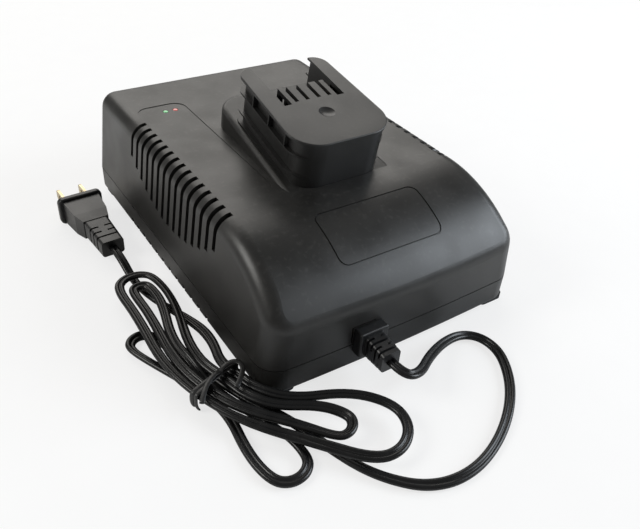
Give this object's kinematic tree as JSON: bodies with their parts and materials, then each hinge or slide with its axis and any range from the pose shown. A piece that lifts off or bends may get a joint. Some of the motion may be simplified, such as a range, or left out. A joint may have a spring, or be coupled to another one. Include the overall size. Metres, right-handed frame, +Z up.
{
  "type": "power tool battery charger",
  "caption": "Desktop charger for slide-on power tool batteries: sloped vented housing, raised tilted dock with contact slots, and a tied mains cord with a two-blade plug.",
  "frame": {"origin": "on the surface the feet stand on, under the middle of the housing", "axes": "+Z up, -Y the sloped front that the cord leaves, +X to the right seen from the front"},
  "size_m": [0.183, 0.2733, 0.097],
  "materials": {
    "housing_plastic": "fine satin texture",
    "dock_plastic": "fine satin texture",
    "foot_rubber": "matte",
    "screw_steel": "plated",
    "contact_brass": "plain",
    "carrier_plastic": "matte",
    "green_lens": "clear tinted",
    "red_lens": "clear tinted",
    "board_laminate": "coated laminate",
    "ferrite": "pressed and ground",
    "bobbin_plastic": "matte",
    "winding_tape": "polyester tape",
    "can_sleeve": "shrunk sleeve",
    "heatsink_aluminium": "extruded",
    "package_plastic": "moulded",
    "copper_wire": "enamelled",
    "film_plastic": "moulded",
    "fuse_glass": "clear",
    "clip_metal": "tinned",
    "relay_plastic": "moulded",
    "resistor_coat": "lacquered",
    "terminal_plastic": "matte",
    "lead_sheath": "smooth",
    "cord_sheath": "smooth, two ridges",
    "plug_moulding": "satin",
    "blade_brass": "stamped",
    "tie_plastic": "matte"
  },
  "bodies": {
    "charger": {"upper_housing": "housing_plastic", "lower_housing": "housing_plastic", "foot_pads": "foot_rubber", "housing_screws": "screw_steel", "battery_dock": "dock_plastic", "dock_base_plate": "dock_plastic", "dock_screws": "screw_steel", "contact_carrier": "carrier_plastic", "lamp_green": "green_lens", "lamp_red": "red_lens", "lamp_board": "board_laminate", "lamp_board_screws": "screw_steel", "circuit_board": "board_laminate", "board_screws": "screw_steel", "transformer_core": "ferrite", "transformer_bobbin": "bobbin_plastic", "transformer_winding": "winding_tape", "bulk_capacitor": "can_sleeve", "output_capacitors": "can_sleeve", "primary_heatsink": "heatsink_aluminium", "power_transistor": "package_plastic", "secondary_heatsink": "heatsink_aluminium", "rectifier_diode": "package_plastic", "package_screws": "screw_steel", "choke_core": "ferrite", "choke_windings": "copper_wire", "film_capacitor": "film_plastic", "mains_fuse": "fuse_glass", "fuse_clips": "clip_metal", "charge_relay": "relay_plastic", "control_chip": "package_plastic", "board_resistors": "resistor_coat", "mains_terminal": "terminal_plastic", "mains_leads": "lead_sheath", "dock_leads": "lead_sheath", "dock_socket": "terminal_plastic", "cord_grip": "cord_sheath", "cord_run": "cord_sheath", "cord_hank": "cord_sheath", "cord_lead": "cord_sheath", "plug_body": "plug_moulding", "plug_blades": "blade_brass", "twist_tie": "tie_plastic"},
    "contact_1": {"contact_leaf_1": "contact_brass"},
    "contact_2": {"contact_leaf_2": "contact_brass"},
    "contact_3": {"contact_leaf_3": "contact_brass"}
  },
  "joints": [
    {"name": "contact_1_flex", "type": "hinge", "parent": "charger", "child": "contact_1", "pos_m": [-0.0031, -0.00937, 0.07633], "axis": [0, 0.9842, 0.1771], "range_deg": [0, 2.2], "stiffness_Nm_per_rad": 0.05},
    {"name": "contact_2_flex", "type": "hinge", "parent": "charger", "child": "contact_2", "pos_m": [0.0031, -0.00937, 0.07633], "axis": [0, 0.9842, 0.1771], "range_deg": [0, 2.2], "stiffness_Nm_per_rad": 0.05},
    {"name": "contact_3_flex", "type": "hinge", "parent": "charger", "child": "contact_3", "pos_m": [0.00905, -0.00937, 0.07633], "axis": [0, 0.9842, 0.1771], "range_deg": [0, 2.2], "stiffness_Nm_per_rad": 0.05}
  ]
}
